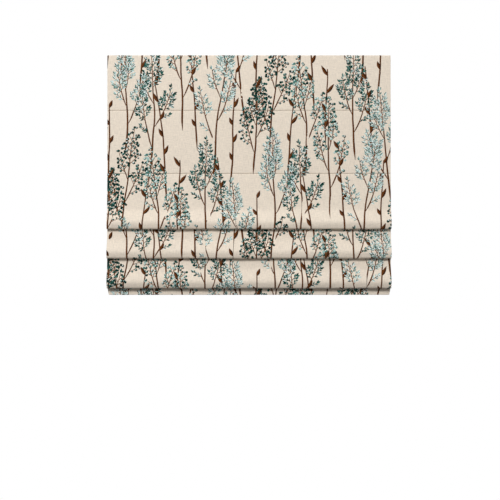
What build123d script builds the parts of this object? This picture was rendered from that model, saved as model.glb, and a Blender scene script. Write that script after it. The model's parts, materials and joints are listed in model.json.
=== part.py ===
from build123d import *
import math
import os

os.makedirs("parts", exist_ok=True)

# Soft-fold roman blind with a spring-lift headrail. Millimetres, +Z up, the room is towards -Y.
# The origin is the centre of the four bracket screw holes, on the face that meets the reveal.

# Cloth as it hangs: width, drop from its top edge, and heights above the hem
CLOTH_W = 960.0
HEM = 812.0               # depth of the hem below the top edge
CLOTH_TOP = -1.0          # the top edge sits just under the reveal
SEAMS_UP = (625.0, 411.0)
FOLDS_UP = (222.0, 123.0, 22.0)
CREASES_UP = (300.0, 208.0, 99.0)
TOP_TURN = 26.0           # turned back over the lining at the top
HEM_TURN = 40.0           # and at the hem
SIDE_TURN = 24.0          # lining stops this far inside the cloth's edges

# Cloth section
FACE_T = 1.0
LINING_T = 0.6
PLY_GAP = 0.3             # air between the two plies
SEW_GAP = 0.1             # between sewn pieces, so that they share no volume
TURN_R = 0.45             # bend of the middle surface at the top and at the hem
FOLD_FORWARD = 27.0       # how far a fold stands in front of the flat cloth
HANG_FORWARD = 7.8        # where the cloth hangs in front of the crease behind it
FOLD_R = 9.0              # the round bottom of a fold
FOLD_LEAN = 0.8           # bottom of a fold behind its belly
BULGE_R = 24.0            # belly of a fold, and the bend that leads into it
BULGE_START = 65.0        # the bend above the middle of a fold's round bottom
BULGE_DROP = 12.0         # the belly above it
CREASE_R = 2.5
PINCH = 2.0               # how far a seam is drawn back to its rod
PINCH_R = 1.3
PINCH_SPREAD = 2.8
PINCH_EASE_R = 1.0
BEND_STEP = 13.0          # most degrees between the flats that a bend is made of

# Headrail, an aluminium extrusion behind the cloth's top
RAIL_INSET = 5.0          # each end inside the cloth's edge
RAIL_D = 36.0
RAIL_H = 42.0
WALL = 1.6
CHANNEL_H = 6.0           # clear height of the upper channel
TOP_SLOT = 20.0
BOTTOM_SLOT = 24.0
PORT_R = 1.5              # screw ports for the end caps
PORT_WALL = 1.5
PORT_IN = 2.5             # port centre from the chamber's top and side
TAPE_T = 1.0
TAPE_H = 20.0
TAPE_DOWN = 3.0           # tape's upper edge below the rail's top
TAPE_INSET = 5.0          # tape's end from the rail's end
CAP_T = 3.0
CAP_R = 1.2
PLUG_L = 9.0
PLUG_FIT = 0.2

# Brackets and their cam levers
BRACKET_INSET = 75.0      # screw holes from the rail's end
HOLE_SPACING_Y = 15.0
HOLE_R = 2.5
HOLE_EDGE = 10.0          # plate beyond the screw holes
PIVOT_IN = 24.0           # lever pivot, inboard of the screw holes
PIVOT_EDGE = 10.0
PIVOT_Y = 2.0
PLATE_T = 2.0
PLATE_BACK = 16.0
PLATE_CORNER = 3.0
STEP_Y = 14.0             # where the plate steps down to the rail's front lip
FOOT_Y = 17.0
HOOK_Y = 9.4
HOOK_TIP_Y = 13.5
HOOK_EDGE = 7.0           # hook starts this far inboard of the screw holes
HOOK_T = 2.0
HOOK_GAP = 0.2
LEVER_T = 2.0
LEVER_W = 7.0
LEVER_REACH = 34.0
LEVER_GAP = 0.2
BOSS_W = 13.0
TONGUE_T = 2.2
TONGUE_W = 6.0
TONGUE_REACH = 12.5
RIVET_R = 2.5
RIVET_HEAD_W = 9.0
RIVET_HEAD_T = 1.2

# Lift drive
ROUND_SIDES = 24          # flats of round forms that nothing turns on
HEX_AF = 6.0
RUN_FIT = 0.05            # radial clearance of turning pieces and of the hexagon
SPOOL_INSET = 115.0       # outer spools from the rail's end
SHAFT_PAST = 36.0         # shaft beyond the outer spools, to the collars that keep it in place
FLANGE_GAP = 1.6          # flange to the cradle's base
FLANGE_T = 2.0
WINDING_ROOM = 4.0        # height of the flange above the drum
DRUM_L = 34.0
DRUM_STEP = 3.0           # drum's radius over the journal's
JOURNAL_L = 6.0
SPOOL_PLAY = 0.8          # spool to the cradle's walls, along the shaft
CORD_R = 0.7
CORD_GAP = 0.05           # between wound cord, drum and flange
TURNS = 9.4               # cord on each spool, with the blind hanging as it is modelled
CRADLE_L = 60.0
CRADLE_BASE_T = 2.0
CRADLE_WALL_T = 3.0
CRADLE_FIT = 0.3
BEARING_RIM = 3.5
BEARING_MOUTH = 0.9       # width of the open top as a share of the bore
CLIP_L = 12.0
CLIP_X = 14.0
CLIP_T = 1.5
CLIP_BARB = 1.5
COLLAR_W = 10.0
COLLAR_L = 8.0
COLLAR_INSET = 2.0

# Spring motor
MOTOR_PAST = 110.0        # case inboard of the left spool
MOTOR_L = 36.0
MOTOR_GAP = 0.4           # case to the rail's web and floor
MOTOR_WALL = 1.2
MOTOR_END = 2.0
MOTOR_FOOT_W = 26.0
ARBOR_R = 4.5
ARBOR_PAST = 1.0
SPRING_T = 0.5
SPRING_GAP = 0.1          # to the arbor and to the case's wall
SPRING_TURNS = 6
SPRING_STEPS = 14         # points in each turn of the spring
SPRING_PLAY = 1.0

# Rods in sewn pockets, with end caps and cord guides
ROD_R = 2.5
ROD_INSET = 27.0          # rod's end inside the cloth's edge
POCKET_T = 0.6
POCKET_FIT = 0.3
POCKET_SHORT = 9.0        # pocket's end inside the rod's end
POCKET_LAND = 8.0         # height of the sewn strip
ROD_CAP_T = 0.9
ROD_CAP_END = 2.0         # cap beyond the rod's end
ROD_CAP_GAP = 0.4
EYE_R = 1.8
EYE_WALL = 1.4
EYE_H = 8.0
CLASP_T = 1.1
CLASP_W = 10.0

# Bottom bar in its sewn sleeve
BAR_INSET = 30.0
BAR_H = 20.0
BAR_T = 4.0
BAR_UP = 4.0              # bar's lower edge above the hem
BAR_FIT = 0.4
SLEEVE_T = 0.7
SLEEVE_SHORT = 8.0
SLEEVE_CORNER = 1.2
BAR_CAP_T = 0.9
BAR_CAP_END = 1.6
ANCHOR_W = 14.0
ANCHOR_T = 1.6
ANCHOR_EDGE = 3.0         # anchor's plate inside the bar's edges
ANCHOR_BOSS_W = 6.0
ANCHOR_BOSS_H = 8.0

# Levels, planes and radii that follow from the sizes above
RAIL_L = CLOTH_W - 2 * RAIL_INSET
RAIL_TOP = -(PLATE_T + LEVER_T + 2 * LEVER_GAP)
RAIL_BOTTOM = RAIL_TOP - RAIL_H
LIP_UNDER = RAIL_TOP - WALL
WEB_TOP = LIP_UNDER - CHANNEL_H
WEB_BOTTOM = WEB_TOP - WALL
LIP_TOP = RAIL_BOTTOM + WALL
INNER_Y = RAIL_D / 2 - WALL
CHAMBER_H = WEB_BOTTOM - LIP_TOP
AXIS_Z = LIP_TOP + CHAMBER_H / 2              # the shaft runs along the middle of the chamber
MOTOR_R = CHAMBER_H / 2 - MOTOR_GAP
FLANGE_R = CHAMBER_H / 2 - CRADLE_BASE_T - FLANGE_GAP
DRUM_R = FLANGE_R - WINDING_ROOM
JOURNAL_R = DRUM_R - DRUM_STEP
HOLE_X = RAIL_L / 2 - BRACKET_INSET
SPOOL_X = RAIL_L / 2 - SPOOL_INSET
SHAFT_L = 2 * (SPOOL_X + SHAFT_PAST)
WOUND_R = DRUM_R + CORD_GAP + CORD_R          # radius at which the cord runs
CORD_Y = -WOUND_R
PLY_HALF = PLY_GAP / 2
LINING_BACK = PLY_HALF + LINING_T             # back of the lining, from the middle surface
TURNED_BACK = 2 * TURN_R + PLY_HALF           # front of a turned-back layer
CLOTH_Y = -(RAIL_D / 2 + 2 * TAPE_T + SEW_GAP + FACE_T + TURNED_BACK)
POCKET_R = ROD_R + POCKET_FIT + POCKET_T
LEG_Y = CLOTH_Y + PINCH                       # cloth below a crease or at a seam
ROD_Y = LEG_Y + LINING_BACK + SEW_GAP + POCKET_R
ROD_L = CLOTH_W - 2 * ROD_INSET
POCKET_L = ROD_L - 2 * POCKET_SHORT
BAR_L = CLOTH_W - 2 * BAR_INSET
SLEEVE_L = BAR_L - 2 * SLEEVE_SHORT
SLEEVE_Y = LEG_Y + TURNED_BACK + FACE_T + SEW_GAP
BAR_Y = SLEEVE_Y + SLEEVE_T + BAR_FIT
SLEEVE_BACK = BAR_Y + BAR_T + BAR_FIT + SLEEVE_T
BAR_Z = CLOTH_TOP - HEM + BAR_UP
CORD_END_Z = BAR_Z + BAR_H / 2

PRINTED = (0.88, 0.83, 0.76)
LINING = (0.92, 0.9, 0.85)
TAPE = (0.94, 0.94, 0.92)
CORD = (0.93, 0.92, 0.88)
ALUMINIUM = (0.86, 0.86, 0.85)
STEEL = (0.7, 0.71, 0.72)
WHITE = (0.93, 0.93, 0.92)
GREY = (0.62, 0.63, 0.64)
DARK = (0.22, 0.23, 0.24)


def area(x0, x1, y0, y1):
    """A rectangle between four edges of a drawing plane."""
    return Pos((x0 + x1) / 2, (y0 + y1) / 2) * Rectangle(abs(x1 - x0), abs(y1 - y0))


def outline(*points):
    return make_face(Polyline(*points, close=True))


def many_sided(radius):
    """A form round the shaft's axis with flats at a radius."""
    return Pos(0, AXIS_Z) * RegularPolygon(radius, ROUND_SIDES, major_radius=False)


def octagon(width, y=0.0, z=0.0):
    """Eight sides, flat towards each axis, by the width across flats."""
    return Pos(y, z) * RegularPolygon(width / 2, 8, major_radius=False, rotation=22.5)


def along_x(profile, x0, x1):
    """A Y-Z profile drawn out between two ends."""
    low = min(x0, x1)
    return extrude(Plane.YZ.offset(low) * profile, amount=abs(x1 - x0))


def along_z(profile, z0, z1):
    """An X-Y profile drawn out between two levels."""
    low = min(z0, z1)
    return extrude(Plane.XY.offset(low) * profile, amount=abs(z1 - z0))


def round_x(radius, x0, x1, y=0.0, z=AXIS_Z):
    """A round bar along X, on the shaft's axis unless told otherwise."""
    return along_x(Pos(y, z) * Circle(radius), x0, x1)


def hexagon(clearance=0.0):
    return Pos(0, AXIS_Z) * RegularPolygon(HEX_AF / 2 + clearance, 6, major_radius=False)


def save(name, shape, color):
    shape.color = Color(*color)
    shape.label = name
    export_step(shape, f"parts/{name}.step")


# Cloth

def section(path, shift):
    """Points of the cloth's section, moved sideways by shift.

    path holds (y, depth below the cloth's top, signed radius) for each bend. The section runs
    straight between bends. A positive radius bends to the left of the way it runs.
    """
    legs = []
    for (ya, da, ra), (yb, db, rb) in zip(path[:-1], path[1:]):
        za = CLOTH_TOP - da
        zb = CLOTH_TOP - db
        ra -= shift
        rb -= shift
        run = math.hypot(yb - ya, zb - za)
        heading = math.atan2(zb - za, yb - ya) - math.asin((rb - ra) / run)
        ny = -math.sin(heading)
        nz = math.cos(heading)
        legs.append(((ya - ra * ny, za - ra * nz), (yb - rb * ny, zb - rb * nz), heading))
    points = []
    for index, (start, end, heading) in enumerate(legs):
        points += [start, end]
        if index + 1 == len(legs):
            break
        cy, depth, radius = path[index + 1]
        turn = (legs[index + 1][2] - heading) % (2 * math.pi)
        if radius < 0:
            turn -= 2 * math.pi
        reach = radius - shift
        steps = 2 * math.ceil(abs(math.degrees(turn)) / (2 * BEND_STEP))
        for step in range(1, steps):
            angle = heading + turn * step / steps
            points.append((cy + reach * math.sin(angle), CLOTH_TOP - depth - reach * math.cos(angle)))
    return points


def ply(path, near, far, width):
    """A layer of cloth between two sideways shifts of the path."""
    form = outline(*section(path, near), *reversed(section(path, far)))
    return along_x(form, -width / 2, width / 2)


def seam(depth):
    return [
        (CLOTH_Y + PINCH_EASE_R, depth - PINCH_SPREAD, PINCH_EASE_R),
        (LEG_Y - PINCH_R, depth, -PINCH_R),
        (CLOTH_Y + PINCH_EASE_R, depth + PINCH_SPREAD, PINCH_EASE_R),
    ]


def fold(bottom, crease):
    front = CLOTH_Y - FOLD_FORWARD
    hang = CLOTH_Y - HANG_FORWARD
    low = bottom - FACE_T - PLY_HALF - FOLD_R
    return [
        (hang - BULGE_R, low - BULGE_START, -BULGE_R),
        (front + BULGE_R, low - BULGE_DROP, BULGE_R),
        (front + FOLD_R + FOLD_LEAN, low, FOLD_R),
        (LEG_Y - CREASE_R, crease + CREASE_R, -CREASE_R),
    ]


seam_depths = [HEM - up for up in SEAMS_UP]
crease_depths = [HEM - up for up in CREASES_UP]
hanging = []
for depth in seam_depths:
    hanging += seam(depth)
for bottom_up, crease in zip(FOLDS_UP, crease_depths):
    hanging += fold(HEM - bottom_up, crease)

edge_depth = FACE_T + PLY_HALF + TURN_R
top_turn = [
    (CLOTH_Y + 2 * TURN_R, TOP_TURN, 0.0),
    (CLOTH_Y + TURN_R, edge_depth, TURN_R),
]
hem_turn = [
    (LEG_Y + TURN_R, HEM - edge_depth, TURN_R),
    (LEG_Y + 2 * TURN_R, HEM - HEM_TURN, 0.0),
]
face_path = top_turn + hanging + hem_turn
lining_path = [(CLOTH_Y, 2 * edge_depth, 0.0)] + hanging + [(LEG_Y, HEM - 2 * edge_depth, 0.0)]
save("face_fabric", ply(face_path, -PLY_HALF - FACE_T, -PLY_HALF, CLOTH_W), PRINTED)
save("lining", ply(lining_path, PLY_HALF, LINING_BACK, CLOTH_W - 2 * SIDE_TURN), LINING)

# Headrail

port_y = INNER_Y - PORT_IN
port_z = WEB_BOTTOM - PORT_IN
profile = area(-RAIL_D / 2, RAIL_D / 2, RAIL_BOTTOM, RAIL_TOP)
profile -= area(-INNER_Y, INNER_Y, WEB_TOP, LIP_UNDER)
profile -= area(-TOP_SLOT / 2, TOP_SLOT / 2, LIP_UNDER, RAIL_TOP)
profile -= area(-INNER_Y, INNER_Y, LIP_TOP, WEB_BOTTOM)
profile -= area(-BOTTOM_SLOT / 2, BOTTOM_SLOT / 2, RAIL_BOTTOM, LIP_TOP)
for side in (-1, 1):
    profile += octagon(2 * (PORT_R + PORT_WALL), side * port_y, port_z)
for side in (-1, 1):
    profile -= Pos(side * port_y, port_z) * Circle(PORT_R)
save("headrail", along_x(profile, -RAIL_L / 2, RAIL_L / 2), ALUMINIUM)

# End caps: a plate over the rail's end with a hollow plug in the chamber
plate_form = area(-RAIL_D / 2, RAIL_D / 2, RAIL_BOTTOM, RAIL_TOP)
plate_form = chamfer(plate_form.vertices(), CAP_R)
plug_y = INNER_Y - PLUG_FIT
plug_low = LIP_TOP + PLUG_FIT
plug_high = port_z - PORT_R - PORT_WALL - PLUG_FIT
plug_form = area(-plug_y, plug_y, plug_low, plug_high)
plug_form -= area(-plug_y + WALL, plug_y - WALL, plug_low + WALL, plug_high - WALL)
for name, side in (("end_cap_left", -1), ("end_cap_right", 1)):
    end = side * RAIL_L / 2
    cap = along_x(plate_form, end, end + side * CAP_T) + along_x(plug_form, end - side * PLUG_L, end)
    save(name, cap, WHITE)

# Hook tape on the rail, loop tape on the cloth
tape_top = RAIL_TOP - TAPE_DOWN
tape_half = RAIL_L / 2 - TAPE_INSET
rail_front = -RAIL_D / 2
for name, face in (("hook_tape", rail_front), ("loop_tape", rail_front - TAPE_T)):
    strip = area(face - TAPE_T, face, tape_top - TAPE_H, tape_top)
    save(name, along_x(strip, -tape_half, tape_half), TAPE)

# Brackets: a stepped plate whose hook takes the rail's front lip, a cam lever for its rear lip
tongue_top = LIP_UNDER - HOOK_GAP
tongue_low = tongue_top - TONGUE_T
lever_top = -PLATE_T - LEVER_GAP
rivet_low = tongue_low - LEVER_GAP
plate_section = outline(
    (PLATE_BACK, 0),
    (-STEP_Y, 0),
    (-STEP_Y, RAIL_TOP + PLATE_T),
    (-FOOT_Y, RAIL_TOP + PLATE_T),
    (-FOOT_Y, RAIL_TOP),
    (-STEP_Y + PLATE_T, RAIL_TOP),
    (-STEP_Y + PLATE_T, -PLATE_T),
    (PLATE_BACK, -PLATE_T),
)
hook_section = outline(
    (-HOOK_Y, -PLATE_T),
    (-HOOK_Y, tongue_top),
    (-HOOK_TIP_Y, tongue_top),
    (-HOOK_TIP_Y, tongue_top - HOOK_T),
    (-HOOK_Y + HOOK_T, tongue_top - HOOK_T),
    (-HOOK_Y + HOOK_T, -PLATE_T),
)
lever_form = outline(
    (-LEVER_W / 2, 0),
    (LEVER_W / 2, 0),
    (LEVER_W / 2, LEVER_REACH - LEVER_W / 2),
    (LEVER_W / 4, LEVER_REACH),
    (-LEVER_W / 4, LEVER_REACH),
    (-LEVER_W / 2, LEVER_REACH - LEVER_W / 2),
)
tongue_form = outline(
    (-TONGUE_W / 2, 0),
    (TONGUE_W / 2, 0),
    (TONGUE_W / 2, TONGUE_REACH - TONGUE_W / 2),
    (TONGUE_W / 4, TONGUE_REACH),
    (-TONGUE_W / 4, TONGUE_REACH),
    (-TONGUE_W / 2, TONGUE_REACH - TONGUE_W / 2),
)
lever = along_z(lever_form, lever_top - LEVER_T, lever_top)
lever += along_z(octagon(BOSS_W), tongue_low, lever_top)
lever += along_z(tongue_form, tongue_low, tongue_top)
lever -= along_z(Circle(RIVET_R + RUN_FIT), tongue_low, lever_top)
for name, side in (("left", -1), ("right", 1)):
    hole_x = side * HOLE_X
    pivot_x = hole_x - side * PIVOT_IN
    inner = pivot_x - side * PIVOT_EDGE
    bracket = along_x(plate_section, hole_x + side * HOLE_EDGE, inner)
    corners = bracket.edges().filter_by(Axis.Z).sort_by(Axis.Y)[-2:]
    bracket = chamfer(corners, PLATE_CORNER)
    bracket += along_x(hook_section, hole_x - side * HOOK_EDGE, inner)
    for row in (-1, 1):
        bracket -= along_z(Pos(hole_x, row * HOLE_SPACING_Y / 2) * Circle(HOLE_R), -PLATE_T, 0)
    bracket += along_z(Pos(pivot_x, PIVOT_Y) * Circle(RIVET_R), rivet_low, -PLATE_T)
    bracket += along_z(octagon(RIVET_HEAD_W, pivot_x, PIVOT_Y), rivet_low - RIVET_HEAD_T, rivet_low)
    save(f"bracket_{name}", bracket, STEEL)
    save(f"bracket_lever_{name}", Pos(pivot_x, PIVOT_Y, 0) * lever, WHITE)

# Drive shaft with its collars
save("drive_shaft", along_x(hexagon(), -SHAFT_L / 2, SHAFT_L / 2), STEEL)
collars = []
for side in (-1, 1):
    end = side * (SHAFT_L / 2 - COLLAR_INSET)
    collars.append(along_x(octagon(COLLAR_W, 0, AXIS_Z) - hexagon(RUN_FIT), end - side * COLLAR_L, end))
save("shaft_collars", Compound(children=collars), STEEL)


# Spools, wound cord, cradles and cords

def spool(flange_x):
    """Journal, flange and drum. The drum runs on through the cradle as the second journal."""
    drum_end = flange_x + DRUM_L + SPOOL_PLAY + CRADLE_WALL_T + SPOOL_PLAY
    journal_end = flange_x - FLANGE_T - JOURNAL_L
    body = round_x(JOURNAL_R, journal_end, flange_x - FLANGE_T)
    body += along_x(many_sided(FLANGE_R), flange_x - FLANGE_T, flange_x)
    body += round_x(DRUM_R, flange_x, drum_end)
    return body - along_x(hexagon(RUN_FIT), journal_end, drum_end)


def wound_cord(x0, x1):
    """The turns of cord as one sleeve with flat sides, its bore clear of the drum."""
    return along_x(many_sided(WOUND_R + CORD_R) - many_sided(WOUND_R - CORD_R), x0, x1)


def bearing(radius):
    """A cradle wall whose bore is open at the top, so that the journal snaps in."""
    half = radius + BEARING_RIM
    wall = area(-half, half, LIP_TOP, AXIS_Z + radius * BEARING_MOUTH)
    mouth = radius * BEARING_MOUTH
    wall -= area(-mouth, mouth, AXIS_Z, AXIS_Z + 2 * radius)
    return wall - Pos(0, AXIS_Z) * Circle(radius + RUN_FIT)


def cradle(centre, flange_x, cord_x):
    base_y = INNER_Y - CRADLE_FIT
    ends = (centre - CRADLE_L / 2, centre + CRADLE_L / 2)
    body = along_x(area(-base_y, base_y, LIP_TOP, LIP_TOP + CRADLE_BASE_T), *ends)
    left = flange_x - FLANGE_T - SPOOL_PLAY
    right = flange_x + DRUM_L + SPOOL_PLAY
    body += along_x(bearing(JOURNAL_R), left - CRADLE_WALL_T, left)
    body += along_x(bearing(DRUM_R), right, right + CRADLE_WALL_T)
    leg = BOTTOM_SLOT / 2 - CRADLE_FIT
    catch = RAIL_BOTTOM - CRADLE_FIT
    clip = outline(
        (leg - CLIP_T, LIP_TOP),
        (leg, LIP_TOP),
        (leg, catch),
        (leg + CLIP_BARB, catch),
        (leg, catch - CLIP_BARB),
        (leg - CLIP_T, catch - CLIP_BARB),
    )
    for place in (centre - CLIP_X, centre + CLIP_X):
        one = along_x(clip, place - CLIP_L / 2, place + CLIP_L / 2)
        body += one + mirror(one, about=Plane.XZ)
    return body - along_z(octagon(2 * EYE_R, cord_x, CORD_Y), LIP_TOP, LIP_TOP + CRADLE_BASE_T)


cord_places = []
for name, centre in (("left", -SPOOL_X), ("middle", 0.0), ("right", SPOOL_X)):
    flange_x = centre - DRUM_L / 2
    wound_end = flange_x + CORD_GAP + TURNS * 2 * CORD_R
    cord_x = wound_end + CORD_GAP + CORD_R
    cord_places.append(cord_x)
    save(f"spool_{name}", spool(flange_x), WHITE)
    save(f"cord_winding_{name}", wound_cord(flange_x + CORD_GAP, wound_end), CORD)
    save(f"cradle_{name}", cradle(centre, flange_x, cord_x), GREY)
    save(f"lift_cord_{name}", along_z(octagon(2 * CORD_R, cord_x, CORD_Y), CORD_END_Z, AXIS_Z), CORD)

# Spring motor: case on a foot, cover, arbor on the shaft, spiral spring between them
motor_x = -SPOOL_X + MOTOR_PAST
motor_end = motor_x + MOTOR_L
cavity_r = MOTOR_R - MOTOR_WALL
spring_r = ARBOR_R + SPRING_GAP
spring_pitch = (cavity_r - SPRING_GAP - SPRING_T - spring_r) / SPRING_TURNS
foot = area(-MOTOR_FOOT_W / 2, MOTOR_FOOT_W / 2, LIP_TOP, AXIS_Z - MOTOR_FOOT_W / 3)
shell = foot + many_sided(MOTOR_R)
arbor_hole = Pos(0, AXIS_Z) * Circle(ARBOR_R + RUN_FIT)
case = along_x(shell - arbor_hole, motor_x, motor_end)
save("motor_case", case - round_x(cavity_r, motor_x + MOTOR_END, motor_end), DARK)
save("motor_cover", along_x(shell - arbor_hole, motor_end, motor_end + MOTOR_END), DARK)
arbor_ends = (motor_x - ARBOR_PAST, motor_end + MOTOR_END + ARBOR_PAST)
save("spring_arbor", along_x(Pos(0, AXIS_Z) * Circle(ARBOR_R) - hexagon(RUN_FIT), *arbor_ends), GREY)


def spiral(start_r):
    points = []
    for step in range(SPRING_TURNS * SPRING_STEPS + 1):
        turn = step / SPRING_STEPS
        radius = start_r + spring_pitch * turn
        angle = 2 * math.pi * turn
        points.append((radius * math.cos(angle), AXIS_Z + radius * math.sin(angle)))
    return points


spring_form = outline(*spiral(spring_r), *reversed(spiral(spring_r + SPRING_T)))
spring_ends = (motor_x + MOTOR_END + SPRING_PLAY, motor_end - SPRING_PLAY)
save("spiral_spring", along_x(spring_form, *spring_ends), STEEL)


# Rods in their pockets

def rod_pocket(z):
    """A tape folded round the rod and sewn to the lining along a flat strip."""
    front = ROD_Y - POCKET_R
    tube = octagon(2 * POCKET_R, ROD_Y, z)
    tube += area(front, front + POCKET_T, z - POCKET_LAND / 2, z + POCKET_LAND / 2)
    tube -= octagon(2 * (ROD_R + POCKET_FIT), ROD_Y, z)
    return along_x(tube, -POCKET_L / 2, POCKET_L / 2)


def rod_cap(side, z):
    inner_end = side * (POCKET_L / 2 + ROD_CAP_GAP)
    rod_end = side * ROD_L / 2
    cap = along_x(octagon(2 * (ROD_R + ROD_CAP_T), ROD_Y, z), inner_end, rod_end + side * ROD_CAP_END)
    return cap - along_x(octagon(2 * (ROD_R + RUN_FIT), ROD_Y, z), inner_end, rod_end)


def rod_guide(cord_x, z):
    """A clasp over the pocket's back that carries the cord's eye."""
    inner = POCKET_R + SEW_GAP
    clasp = octagon(2 * (inner + CLASP_T), ROD_Y, z) - octagon(2 * inner, ROD_Y, z)
    clasp -= area(ROD_Y - 2 * POCKET_R, ROD_Y - ROD_R / 2, z - 2 * POCKET_R, z + 2 * POCKET_R)
    body = along_x(clasp, cord_x - CLASP_W / 2, cord_x + CLASP_W / 2)
    eye = octagon(2 * (EYE_R + EYE_WALL), cord_x, CORD_Y)
    root = ROD_Y + inner + CLASP_T / 2
    neck = outline(
        (cord_x - CLASP_W / 2, root),
        (cord_x + CLASP_W / 2, root),
        (cord_x + EYE_R + EYE_WALL, CORD_Y),
        (cord_x - EYE_R - EYE_WALL, CORD_Y),
    )
    levels = (z - EYE_H / 2, z + EYE_H / 2)
    bore = along_z(octagon(2 * EYE_R, cord_x, CORD_Y), *levels)
    return body + along_z(eye + neck, *levels) - bore


rod_depths = seam_depths + [depth + CREASE_R for depth in crease_depths]
for number, depth in enumerate(rod_depths, start=1):
    z = CLOTH_TOP - depth
    save(f"rod_{number}", round_x(ROD_R, -ROD_L / 2, ROD_L / 2, ROD_Y, z), WHITE)
    save(f"rod_pocket_{number}", rod_pocket(z), LINING)
    save(f"rod_caps_{number}", Compound(children=[rod_cap(side, z) for side in (-1, 1)]), WHITE)
    save(f"rod_guides_{number}", Compound(children=[rod_guide(x, z) for x in cord_places]), WHITE)

# Bottom bar, its sleeve behind the hem, caps and cord anchors
bar_top = BAR_Z + BAR_H
save("bottom_bar", along_x(area(BAR_Y, BAR_Y + BAR_T, BAR_Z, bar_top), -BAR_L / 2, BAR_L / 2), ALUMINIUM)
skin = SLEEVE_T + BAR_FIT
sleeve_form = chamfer(area(SLEEVE_Y, SLEEVE_BACK, BAR_Z - skin, bar_top + skin).vertices(), SLEEVE_CORNER)
sleeve_form -= area(BAR_Y - BAR_FIT, BAR_Y + BAR_T + BAR_FIT, BAR_Z - BAR_FIT, bar_top + BAR_FIT)
save("bar_pocket", along_x(sleeve_form, -SLEEVE_L / 2, SLEEVE_L / 2), LINING)


def bar_cap(side):
    inner_end = side * (SLEEVE_L / 2 + ROD_CAP_GAP)
    bar_end = side * BAR_L / 2
    outer = area(BAR_Y - BAR_CAP_T, BAR_Y + BAR_T + BAR_CAP_T, BAR_Z - BAR_CAP_T, bar_top + BAR_CAP_T)
    inner = area(BAR_Y - RUN_FIT, BAR_Y + BAR_T + RUN_FIT, BAR_Z - RUN_FIT, bar_top + RUN_FIT)
    return along_x(outer, inner_end, bar_end + side * BAR_CAP_END) - along_x(inner, inner_end, bar_end)


def cord_anchor(cord_x):
    """A plate on the sleeve with a boss that holds the cord's knotted end."""
    back = SLEEVE_BACK + SEW_GAP
    plate = area(cord_x - ANCHOR_W / 2, cord_x + ANCHOR_W / 2, back, back + ANCHOR_T)
    body = along_z(plate, BAR_Z + ANCHOR_EDGE, bar_top - ANCHOR_EDGE)
    boss = octagon(ANCHOR_BOSS_W, cord_x, CORD_Y)
    boss += area(cord_x - ANCHOR_BOSS_W / 2, cord_x + ANCHOR_BOSS_W / 2, back, CORD_Y)
    body += along_z(boss, CORD_END_Z - ANCHOR_BOSS_H / 2, CORD_END_Z + ANCHOR_BOSS_H / 2)
    hole = octagon(2 * (CORD_R + CORD_GAP), cord_x, CORD_Y)
    return body - along_z(hole, CORD_END_Z, CORD_END_Z + ANCHOR_BOSS_H / 2)


save("bar_caps", Compound(children=[bar_cap(side) for side in (-1, 1)]), WHITE)
save("cord_anchors", Compound(children=[cord_anchor(x) for x in cord_places]), WHITE)
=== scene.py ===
import bisect
import json
import math
import random

import bpy
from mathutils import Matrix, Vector


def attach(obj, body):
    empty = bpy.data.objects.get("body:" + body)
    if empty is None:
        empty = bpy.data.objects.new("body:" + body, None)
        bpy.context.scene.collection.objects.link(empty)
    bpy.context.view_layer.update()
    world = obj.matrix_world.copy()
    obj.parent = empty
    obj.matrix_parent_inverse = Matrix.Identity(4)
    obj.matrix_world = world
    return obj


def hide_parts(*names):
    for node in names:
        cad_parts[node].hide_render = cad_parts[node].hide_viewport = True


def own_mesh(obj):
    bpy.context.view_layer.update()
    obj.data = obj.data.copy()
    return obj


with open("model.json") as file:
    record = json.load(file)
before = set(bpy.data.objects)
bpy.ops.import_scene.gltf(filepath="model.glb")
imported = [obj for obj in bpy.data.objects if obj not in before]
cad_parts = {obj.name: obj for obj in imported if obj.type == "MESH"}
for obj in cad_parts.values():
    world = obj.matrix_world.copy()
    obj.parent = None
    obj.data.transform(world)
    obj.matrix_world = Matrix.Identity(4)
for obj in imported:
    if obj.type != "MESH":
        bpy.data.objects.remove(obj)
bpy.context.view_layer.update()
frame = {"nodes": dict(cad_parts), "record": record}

# Soft-fold roman blind. Sizes in millimetres as in the part's source; meshes are made in metres.
MM = 0.001

# Cloth. Depths run down from its top edge, and its front looks towards -y.
CLOTH_W = 960.0
CLOTH_TOP = -1.0
SEAM_DEPTHS = (187.0, 401.0)
FOLD_BOTTOMS = (590.0, 689.0, 790.0)
CREASES = (512.0, 604.0, 713.0)
HEM = 812.0
TOP_TURN = 26.0
HEM_TURN = 40.0
SIDE_TURN = 24.0
FACE_T = 1.0
LINING_T = 0.6
PLY_HALF = 0.15  # half the gap between face and lining
TURN_R = 0.45  # middle of the bends at the top edge and the hem
FOLD_FORWARDS = (27.0, 27.0, 24.5)
HANG_FORWARD = 7.8  # how far forward a fold hangs where it leaves its panel
FOLD_R = 8.0  # the cloth settles rounder than its solid, with a smaller, leaning bottom
FOLD_LEANS = (2.8, 2.8, 4.5)  # the bar draws the lowest one back
BULGE_R = 24.0
LEAD_R = 38.0  # a wider bend than the solid's where a fold leaves its panel
BULGE_START = 65.0
BULGE_DROPS = (12.0, 12.0, 14.0)
CREASE_R = 2.5
PINCH = 2.0  # depth of the grooves at the seams
PINCH_R = 1.3
PINCH_SPREAD = 2.8
PINCH_EASE_R = 1.0
CLOTH_Y = -22.15
LEG_Y = CLOTH_Y + PINCH
FRONT = -(PLY_HALF + FACE_T)  # the printed side, from the cloth's middle surface
BACK = PLY_HALF + LINING_T  # the lining's back
ROLL = (BACK - FRONT) / 2  # radius of the rolled side edge
ROLL_STEPS = 6
EDGE_X = CLOTH_W / 2 - ROLL  # where the roll starts
STRIP_X = CLOTH_W / 2 - SIDE_TURN + 0.4  # inner edge of the side turning
COLUMNS = 60  # of mesh across the cloth
DRAW_IN = 4.5  # how far the hem's corners are drawn in, below the lowest fold
WAVE_H = 0.75
WAVES = ((0.0031, 0.4), (0.0124, 2.1), (0.0217, 4.4))  # turns per millimetre across, phase
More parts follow.
